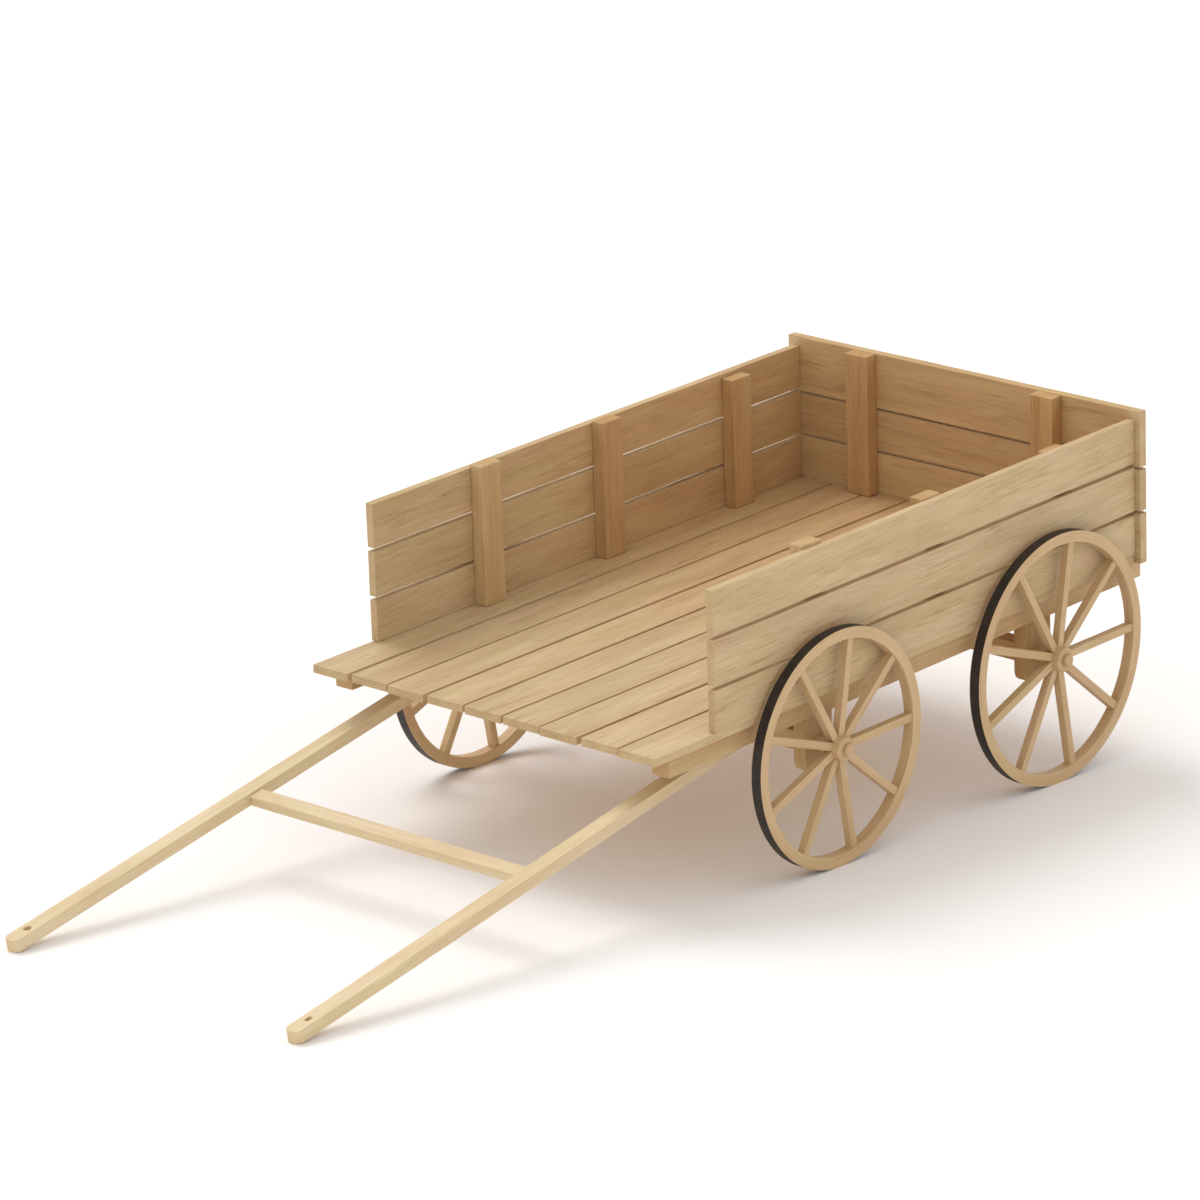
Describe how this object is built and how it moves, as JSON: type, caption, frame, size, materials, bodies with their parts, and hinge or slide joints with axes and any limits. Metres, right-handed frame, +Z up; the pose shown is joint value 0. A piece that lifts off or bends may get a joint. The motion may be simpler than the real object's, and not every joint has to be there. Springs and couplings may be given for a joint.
{
  "type": "garden cart",
  "caption": "Four-wheeled wooden garden cart with slatted sides, spoked wheels, an open front and a pair of long pulling shafts joined by a cross bar.",
  "frame": {"origin": "on the ground under the middle of the bounding box, with the shafts down", "axes": "+X to the cart's left, +Y to its rear (the shafts point along -Y), +Z up"},
  "size_m": [1.135, 2.7135, 0.8011],
  "materials": {
    "planed_boards": "planed, bare",
    "sawn_timber": "planed, bare",
    "planed_spruce": "planed, bare",
    "turned_ash": "sanded, bare",
    "iron_tyre": "matt black",
    "plain_steel": "satin"
  },
  "bodies": {
    "chassis": {"axle_caps": "turned_ash", "axle_spacers": "turned_ash", "floor_bearers": "sawn_timber", "floor_board_1": "planed_boards", "floor_board_2": "planed_boards", "floor_board_3": "planed_boards", "floor_board_4": "planed_boards", "floor_board_5": "planed_boards", "floor_board_6": "planed_boards", "floor_board_7": "planed_boards", "floor_board_8": "planed_boards", "floor_board_9": "planed_boards", "front_axle_beam": "sawn_timber", "front_axle_rod": "plain_steel", "front_left_axle_hanger": "sawn_timber", "front_right_axle_hanger": "sawn_timber", "left_side_front_post": "sawn_timber", "left_side_lower_board": "planed_boards", "left_side_middle_board": "planed_boards", "left_side_middle_post": "sawn_timber", "left_side_rear_post": "sawn_timber", "left_side_upper_board": "planed_boards", "left_sill": "sawn_timber", "rear_axle_beam": "sawn_timber", "rear_axle_rod": "plain_steel", "rear_left_axle_hanger": "sawn_timber", "rear_right_axle_hanger": "sawn_timber", "right_side_front_post": "sawn_timber", "right_side_lower_board": "planed_boards", "right_side_middle_board": "planed_boards", "right_side_middle_post": "sawn_timber", "right_side_rear_post": "sawn_timber", "right_side_upper_board": "planed_boards", "right_sill": "sawn_timber", "shaft_pivot_screws": "plain_steel", "shaft_pivot_washers": "plain_steel", "tail_left_post": "sawn_timber", "tail_lower_board": "planed_boards", "tail_middle_board": "planed_boards", "tail_right_post": "sawn_timber", "tail_upper_board": "planed_boards"},
    "shafts": {"left_shaft": "planed_spruce", "right_shaft": "planed_spruce", "shaft_cross_bar": "planed_spruce"},
    "front_left_wheel": {"front_left_wheel_felloe": "turned_ash", "front_left_wheel_nave": "turned_ash", "front_left_wheel_spokes": "turned_ash", "front_left_wheel_tyre": "iron_tyre"},
    "front_right_wheel": {"front_right_wheel_felloe": "turned_ash", "front_right_wheel_nave": "turned_ash", "front_right_wheel_spokes": "turned_ash", "front_right_wheel_tyre": "iron_tyre"},
    "rear_left_wheel": {"rear_left_wheel_felloe": "turned_ash", "rear_left_wheel_nave": "turned_ash", "rear_left_wheel_spokes": "turned_ash", "rear_left_wheel_tyre": "iron_tyre"},
    "rear_right_wheel": {"rear_right_wheel_felloe": "turned_ash", "rear_right_wheel_nave": "turned_ash", "rear_right_wheel_spokes": "turned_ash", "rear_right_wheel_tyre": "iron_tyre"}
  },
  "joints": [
    {"name": "front_left_wheel_spin", "type": "hinge", "parent": "chassis", "child": "front_left_wheel", "pos_m": [0.529, 0.22709, 0.2706], "axis": [1, 0, 0], "continuous": true},
    {"name": "front_right_wheel_spin", "type": "hinge", "parent": "chassis", "child": "front_right_wheel", "pos_m": [-0.529, 0.22709, 0.2706], "axis": [1, 0, 0], "continuous": true},
    {"name": "rear_left_wheel_spin", "type": "hinge", "parent": "chassis", "child": "rear_left_wheel", "pos_m": [0.529, 0.99449, 0.2935], "axis": [1, 0, 0], "continuous": true},
    {"name": "rear_right_wheel_spin", "type": "hinge", "parent": "chassis", "child": "rear_right_wheel", "pos_m": [-0.529, 0.99449, 0.2935], "axis": [1, 0, 0], "continuous": true},
    {"name": "shafts_lift", "type": "hinge", "parent": "chassis", "child": "shafts", "pos_m": [0, 0.27102, 0.36382], "axis": [-1, 0, 0], "range_deg": [0, 9.2]}
  ]
}
